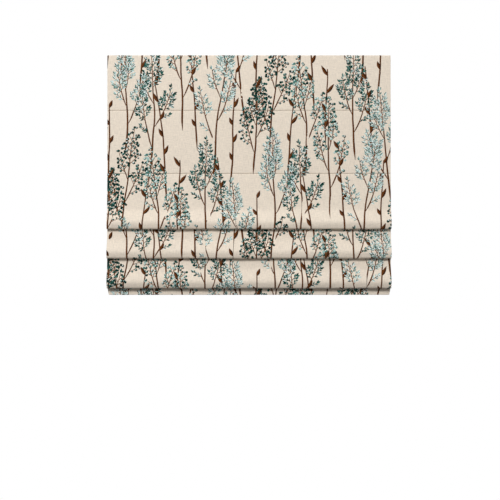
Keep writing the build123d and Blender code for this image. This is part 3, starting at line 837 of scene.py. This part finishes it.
def across(u, off):
    """(x, shift, x and shift parts of the normal) at a width u of cloth, round the rolled edge too."""
    side = 1 if u > 0 else -1
    past = abs(u) - EDGE_X
    if past <= 0:
        return u, FRONT - off, 0.0, -1.0
    a = min(past / ROLL, math.pi)
    x = EDGE_X + (ROLL + off) * math.sin(a) - max(0.0, past - math.pi * ROLL)
    return side * x, FRONT + ROLL - (ROLL + off) * math.cos(a), side * math.sin(a), -math.cos(a)


lengths = [p[0] for p in face_line]
turned = (side_line[0][0], side_line[-1][0])
roll_bands = [EDGE_X + math.pi * ROLL * k / ROLL_STEPS for k in range(ROLL_STEPS + 1)]
roll_bands.append(EDGE_X + math.pi * ROLL + EDGE_X - STRIP_X)
side_bands = list(zip(roll_bands[:-1], roll_bands[1:]))
width_bands = [(-b, -a) for a, b in side_bands] + [(-EDGE_X, EDGE_X)] + side_bands
SMALL = 0.02  # square millimetres; what clipping leaves below this is dropped
SAME = 1e-6  # millimetres; stations closer than this are one


def cut_to_cloth(points):
    """A shape cut at the cloth's own bands, as (station above, station below, part)."""
    left, right = extent(points, 0)
    top, low = extent(points, 1)
    row = max(0, bisect.bisect(lengths, top) - 1)
    while row + 1 < len(lengths) and lengths[row] < low:
        above, below = face_line[row], face_line[row + 1]
        row += 1
        if below[0] - above[0] < SAME:
            continue
        band = clip(points, 1, above[0], below[0])
        for u0, u1 in width_bands:
            if not band or u1 < left or u0 > right:
                continue
            cut = clip(band, 0, u0, u1)
            if cut and (u0 >= EDGE_X or u1 <= -EDGE_X):
                cut = clip(cut, 1, *turned)
            if cut and abs(area_of(cut)) >= SMALL:
                yield above, below, cut


def print_piece(title, shapes, wanted):
    """The wanted inks as one thin piece, cut at the cloth's own bands so that it lies on them."""
    verts = []
    normals = []
    faces = []
    inks = []
    places = []
    for points, name, off in shapes:
        if name not in wanted:
            continue
        for above, below, cut in cut_to_cloth(points):
            ring = tuple(range(len(verts), len(verts) + len(cut)))
            for u, s in cut:
                x, shift, nx, ns = across(u, off)
                t = (s - above[0]) / (below[0] - above[0])
                verts.append(between(at(above, x, shift), at(below, x, shift), t))
                ny, nz = between(above[3:], below[3:], t)
                normals.append(Vector((nx, ns * ny, ns * nz)).normalized())
                places.append((u * MM, s * MM))
            faces.append(ring[::-1] if area_of(cut) > 0 else ring)
            inks.append(wanted.index(name))
    materials = [INK_LINENS[name] for name in wanted]
    made = obj_from(title, verts, faces, materials, "headrail", smooth=0)
    made.data.polygons.foreach_set("material_index", inks)
    made.data.polygons.foreach_set("use_smooth", [True] * len(faces))
    made.data.normals_split_custom_set_from_vertices(normals)
    add_uv(made, places)
    return made


all_shapes = levelled(printed_shapes())
BROWNS = [name for name in INKS if name.startswith("brown")]
twigs = print_piece("print_twigs", all_shapes, BROWNS)
leaves = print_piece("print_leaves", all_shapes, [name for name in INKS if name not in BROWNS])


# Stitches

STITCH_L = 2.9
STITCH_R = 0.22
STITCH_PITCH = 4.0
SEAM_STITCH_L = 3.5
SEAM_THREAD_R = 0.42
SEAM_SINK = 0.1  # of the stitch's axis above the cloth and of its ends below it
SEAM_BLUNT = 0.8  # share of its length at full thickness
SEAM_START = 0.7  # of a pitch, before the first one


def seam_stitches():
    """Machine stitches in the seams' grooves, on the printed side, as small blunt bars along x; their dark
    thread is also a painted shade line along the grooves.
    """
    verts = []
    faces = []
    half = SEAM_STITCH_L / 2
    turns = [math.pi * turn / 3 for turn in range(6)]
    for mark in held_at[1:3]:
        near = min(face_line, key=lambda p: abs(p[0] - mark))
        for k in range(int(2 * EDGE_X / STITCH_PITCH)):
            x = -EDGE_X + (k + SEAM_START) * STITCH_PITCH
            first = len(verts)
            spots = [(x - half, -SEAM_SINK, 0.0), (x + half, -SEAM_SINK, 0.0)]
            for end in (-SEAM_BLUNT, SEAM_BLUNT):
                spots += [(x + end * half, SEAM_SINK + SEAM_THREAD_R * math.cos(a),
                           SEAM_THREAD_R * math.sin(a)) for a in turns]
            for px, out, up in spots:
                _, py, pz = at(near, px, FRONT - out)
                verts.append((px, py, pz + up))
            for i in range(6):
                j = (i + 1) % 6
                faces.append((first, first + 2 + i, first + 2 + j))
                faces.append((first + 2 + i, first + 8 + i, first + 8 + j, first + 2 + j))
                faces.append((first + 1, first + 8 + j, first + 8 + i))
    return obj_from("seam_stitches", verts, faces, [seam_thread_and_shade], "headrail")


def stitches(name, rows, half, body):
    """Rows of machine stitches along x at (y, z), each a small spindle half sunk in the cloth."""
    verts = []
    faces = []
    for y, z in rows:
        for k in range(int(2 * half / STITCH_PITCH)):
            x = -half + (k + 0.5) * STITCH_PITCH
            first = len(verts)
            verts.append((x - STITCH_L / 2, y - STITCH_R / 2, z))
            verts += [(x, y + STITCH_R * math.cos(a), z + STITCH_R * math.sin(a))
                      for a in (0.0, math.pi / 2, math.pi, 1.5 * math.pi)]
            verts.append((x + STITCH_L / 2, y - STITCH_R / 2, z))
            for i in range(4):
                j = (i + 1) % 4
                faces.append((first, first + 1 + j, first + 1 + i))
                faces.append((first + 5, first + 1 + i, first + 1 + j))
    return obj_from(name, verts, faces, [thread_mat], body)


seam_row = seam_stitches()


# Sewn sleeves for the rods and for the bar

def sleeve(name, outer, inner, half, body, slack):
    """A tube of cloth along x between two (y, z) loops, its outside a little uneven by slack."""
    count = len(outer)
    rows = SLEEVE_COLUMNS + 1
    cy = sum(p[0] for p in inner) / count
    cz = sum(p[1] for p in inner) / count
    around = [0.0]
    for a, b in zip(outer, outer[1:]):
        around.append(around[-1] + math.dist(a, b))
    front = min(p[0] for p in outer)
    verts = []
    places = []
    for loop, give in ((outer, slack), (inner, 0.0)):
        for c in range(rows):
            x = -half + 2 * half * c / SLEEVE_COLUMNS
            for (y, z), run in zip(loop, around):
                free = min(1.0, (y - front) / 2.0)
                swell = give * free * (math.sin(SWELL_LONG * x + SWELL_ROUND * run)
                                       + 0.6 * math.sin(SWELL_SHORT * x + 2.0))
                reach = math.hypot(y - cy, z - cz)
                verts.append((x, y + swell * (y - cy) / reach, z + swell * (z - cz) / reach))
                places.append((x * MM, run * MM))
    faces = ring_faces(count, rows) + [f[::-1] for f in ring_faces(count, rows, rows * count)]
    for end, back in ((0, True), ((rows - 1) * count, False)):
        for i in range(count):
            j = (i + 1) % count
            quad = (end + i, end + j, rows * count + end + j, rows * count + end + i)
            faces.append(quad[::-1] if back else quad)
    made = obj_from(name, verts, faces, [sleeve_linen], body)
    add_uv(made, places)
    return made


ARC = [math.radians(-125 + 250 * k / 16) for k in range(17)]
LAND_ANGLES = [math.radians(d) for d in (145, 162, 180, 198, 215)]
ROW_INSET = 0.5  # of a row of stitches from the land's edge
BAR_ROW_INSET = 1.0  # of one from the bar's edge
END_INSET = 2.0  # and of all from the sleeves' ends
base = ROD_Y - POCKET_R
lip = POCKET_LAND / 2
land_y = base + POCKET_T
for number, z in enumerate(ROD_Z, start=1):
    outer = [(ROD_Y + POCKET_R * math.cos(a), z + POCKET_R * math.sin(a)) for a in ARC]
    outer += [(land_y, z + lip), (base, z + lip), (base, z), (base, z - lip), (land_y, z - lip)]
    inner = [(ROD_Y + POCKET_BORE * math.cos(a), z + POCKET_BORE * math.sin(a)) for a in ARC + LAND_ANGLES]
    body = f"rod_body_{number}"
    tube = sleeve(f"rod_sleeve_{number}", outer, inner, POCKET_L / 2, body, ROD_SLACK)
    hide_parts(f"rod_pocket_{number}")
    stitches(f"rod_stitches_{number}", [(land_y, z + lip - ROW_INSET), (land_y, z - lip + ROW_INSET)],
             POCKET_L / 2 - END_INSET, body)


skin = SLEEVE_T + SLEEVE_FIT
bar_y = SLEEVE_Y + skin
bar_back = bar_y + BAR_T + skin


def round_bar(off, radius, side_steps=4, corner_steps=3):
    """A loop of (y, z) points round the bar's section at a distance, from its lower front corner."""
    y0, y1 = bar_y - off, bar_y + BAR_T + off
    z0, z1 = BAR_Z[0] - off, BAR_Z[1] + off
    points = []
    for cy, cz, start in ((y0 + radius, z0 + radius, 180), (y1 - radius, z0 + radius, 270),
                          (y1 - radius, z1 - radius, 0), (y0 + radius, z1 - radius, 90)):
        for k in range(corner_steps + 1):
            a = math.radians(start + 90 * k / corner_steps)
            points.append((cy + radius * math.cos(a), cz + radius * math.sin(a)))
        if start in (270, 90):
            run = (z1 - z0 - 2 * radius) * (1 if start == 270 else -1)
            edge = points[-1]
            points += [(edge[0], edge[1] + run * k / side_steps) for k in range(1, side_steps)]
    return points


bar_tube = sleeve("bar_sleeve", round_bar(skin, SLEEVE_BEND), round_bar(SLEEVE_FIT, SLEEVE_BORE_BEND),
                  SLEEVE_L / 2, "bar", BAR_SLACK)
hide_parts("bar_pocket")
stitches("bar_stitches", [(bar_back, BAR_Z[1] - BAR_ROW_INSET), (bar_back, BAR_Z[0] + BAR_ROW_INSET)],
         SLEEVE_L / 2 - END_INSET, "bar")


# Lift cords and their turns on the spools

LOBES = 3
TWIST = 9.0  # length of one turn of the strands
CORD_SIDES = 9
CORD_STEP = 1.5
TURN_STEPS = 46


def twisted(name, frames, body):
    """A three-strand cord along frames (centre, across, over, length), closed at both ends."""
    verts = []
    for centre, one, two, run in frames:
        for k in range(CORD_SIDES):
            a = 2 * math.pi * k / CORD_SIDES
            r = CORD_R * (0.93 + 0.07 * math.cos(LOBES * (a - 2 * math.pi * run / TWIST)))
            verts.append(tuple(c + r * (math.cos(a) * p + math.sin(a) * q)
                               for c, p, q in zip(centre, one, two)))
    faces = ring_faces(CORD_SIDES, len(frames)) + end_faces(CORD_SIDES, len(frames))
    return obj_from(name, verts, [f[::-1] for f in faces], [FINISHES["cord_fabric"]], body,
                    smooth=60.0)


cords = []
for side, centre in zip(SIDES, SPOOL_X):
    start_x = centre - DRUM_L / 2 + CORD_GAP + CORD_R
    cord_x = centre - DRUM_L / 2 + 2 * CORD_GAP + TURNS * 2 * CORD_R + CORD_R
    drop = AXIS_Z - CORD_END_Z
    steps = round(drop / CORD_STEP)
    line = [((cord_x, -WOUND_R, AXIS_Z - drop * k / steps), (1, 0, 0), (0, -1, 0), drop * k / steps)
            for k in range(steps + 1)]
    cord = twisted(f"lift_line_{side}", line, "headrail")
    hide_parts(f"lift_cord_{side}")
    cords.append(cord)
    turns = (cord_x - start_x) / (2 * CORD_R)
    steps = round(turns * TURN_STEPS)
    coil = []
    for k in range(steps + 1):
        a = math.pi + 2 * math.pi * turns * (k / steps - 1)
        out = (0, math.cos(a), math.sin(a))
        middle = (start_x + (cord_x - start_x) * k / steps, WOUND_R * out[1], AXIS_Z + WOUND_R * out[2])
        coil.append((middle, (1, 0, 0), out, 2 * math.pi * turns * WOUND_R * k / steps))
    winding = twisted(f"wound_line_{side}", coil, "shaft")
    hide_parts(f"cord_winding_{side}")


# Screws of the end caps: pan heads with a cross recess

CAP_X = 478.0  # outer face of the end caps
PORT_Y = 13.9
PORT_Z = -16.1
HEAD_R = 2.7
HEAD_H = 1.3
HEAD_SEAT = 0.05
HEAD_RINGS = (0.25, 0.5, 0.8, 1.1, 1.35, 1.6, 2.0, 2.35, 2.6, HEAD_R, HEAD_R)
HEAD_SEGMENTS = 32
RECESS_R = 1.35
RECESS_W = 0.42
RECESS_D = 0.7


def head_height(r, y, z):
    """Height of the screw's head above the cap at (y, z), r from its middle."""
    height = HEAD_H * math.sqrt(max(0.0, 1 - (r / (1.35 * HEAD_R)) ** 2)) + HEAD_SEAT
    if r < RECESS_R and min(abs(y), abs(z)) < RECESS_W:
        height -= RECESS_D * (1 - 0.4 * r / RECESS_R)
    return height


def screw_heads():
    verts = []
    faces = []
    for side in (-1, 1):
        for py in (-PORT_Y, PORT_Y):
            first = len(verts)
            for ring, r in enumerate(HEAD_RINGS):
                for k in range(HEAD_SEGMENTS):
                    a = 2 * math.pi * k / HEAD_SEGMENTS
                    y, z = r * math.cos(a), r * math.sin(a)
                    height = head_height(r, y, z) if ring + 1 < len(HEAD_RINGS) else 0.0
                    verts.append((side * (CAP_X + height), py + y, PORT_Z + z))
            made = ring_faces(HEAD_SEGMENTS, len(HEAD_RINGS), first)
            made += end_faces(HEAD_SEGMENTS, len(HEAD_RINGS), first)
            faces += made if side > 0 else [f[::-1] for f in made]
    return obj_from("end_cap_screws", verts, faces, [FINISHES["shaft_steel"]], "headrail",
                    smooth=35.0)


screw_heads()


# Stage: a white surround, two lamps and a pale floor under the hanging blind, in metres

FLOOR_Z = -1.62
FLOOR_HALF = 9


def backdrop_seen(tree):
    """1 for rays that show the backdrop: the camera's, mirrored ones and those that pass through glass."""
    rays = add_node(tree, "ShaderNodeLightPath").outputs
    seen = rays["Is Camera Ray"]
    for kind in ("Is Glossy Ray", "Is Transmission Ray"):
        seen = add_math(tree, "MAXIMUM", seen, rays[kind])
    return seen


def studio_world():
    """White where it is seen; its light is brighter from above than from below."""
    world = bpy.data.worlds.new("studio")
    bpy.context.scene.world = world
    world.use_nodes = True
    tree = world.node_tree
    sky = tree.nodes["Background"]
    way = add_node(tree, "ShaderNodeTexCoord").outputs["Generated"]
    up = add_node(tree, "ShaderNodeSeparateXYZ", Vector=way).outputs["Z"]
    light = add_range(tree, up, 0.02, 0.5, -0.6, 0.8)
    tree.links.new(add_range(tree, backdrop_seen(tree), light, 1.0), sky.inputs["Strength"])
    sky.inputs["Color"].default_value = (1, 1, 1, 1)


def lamp(name, place, target, size, power):
    light = bpy.data.lights.new(name, "AREA")
    light.size = size
    light.energy = power
    made = bpy.data.objects.new(name, light)
    made.location = place
    made.rotation_euler = (Vector(target) - Vector(place)).to_track_quat("-Z", "Y").to_euler()
    bpy.context.collection.objects.link(made)


def floor_paper():
    """Lights the object as grey paper does, is seen as white paper with its shadow, and not from below."""
    mat = bpy.data.materials.new("floor_paper")
    mat.use_nodes = True
    tree = mat.node_tree
    paper = tree.nodes["Principled BSDF"]
    paper.inputs["Roughness"].default_value = 0.9
    spot = add_node(tree, "ShaderNodeTexCoord").outputs["Object"]
    grit = add_node(tree, "ShaderNodeTexNoise", Vector=spot, Scale=3.0).outputs["Fac"]
    tree.links.new(add_range(tree, grit, 0.12, 0.16), paper.inputs["Base Color"])
    reach = add_node(tree, "ShaderNodeVectorMath", _0=spot)
    reach.operation = "LENGTH"
    fade = add_range(tree, reach.outputs["Value"], 0.72, 1.0, 0.5, 1.5)
    share = add_math(tree, "MULTIPLY", backdrop_seen(tree), fade)
    white = add_node(tree, "ShaderNodeEmission", Color=(1, 1, 1, 1), Strength=1.0).outputs[0]
    blend = add_node(tree, "ShaderNodeMixShader", _0=share, _1=paper.outputs[0], _2=white).outputs[0]
    under = add_node(tree, "ShaderNodeNewGeometry").outputs["Backfacing"]
    clear = add_node(tree, "ShaderNodeBsdfTransparent").outputs[0]
    sheet = add_node(tree, "ShaderNodeMixShader", _0=under, _1=blend, _2=clear).outputs[0]
    tree.links.new(sheet, tree.nodes["Material Output"].inputs["Surface"])
    return mat


studio_world()
lamp("key", (-0.9, -4.2, 2.1), (0, 0, -0.8), 1.4, 205)
lamp("back", (1.2, 3.6, 1.2), (0, 0, -0.4), 2.0, 100)
floor_mesh = bpy.data.meshes.new("floor")
corners = [(FLOOR_HALF * x, FLOOR_HALF * y, FLOOR_Z) for x, y in ((-1, -1), (1, -1), (1, 1), (-1, 1))]
floor_mesh.from_pydata(corners, [], [(0, 1, 2, 3)])
floor_mesh.materials.append(floor_paper())
floor = bpy.data.objects.new("floor", floor_mesh)
bpy.context.collection.objects.link(floor)


# Pieces that the lift draws towards their upper ends each get a mesh of their own

for piece in (face, twigs, leaves, turnings, seam_row, lining):
    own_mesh(piece)
for cord in cords:
    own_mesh(cord)
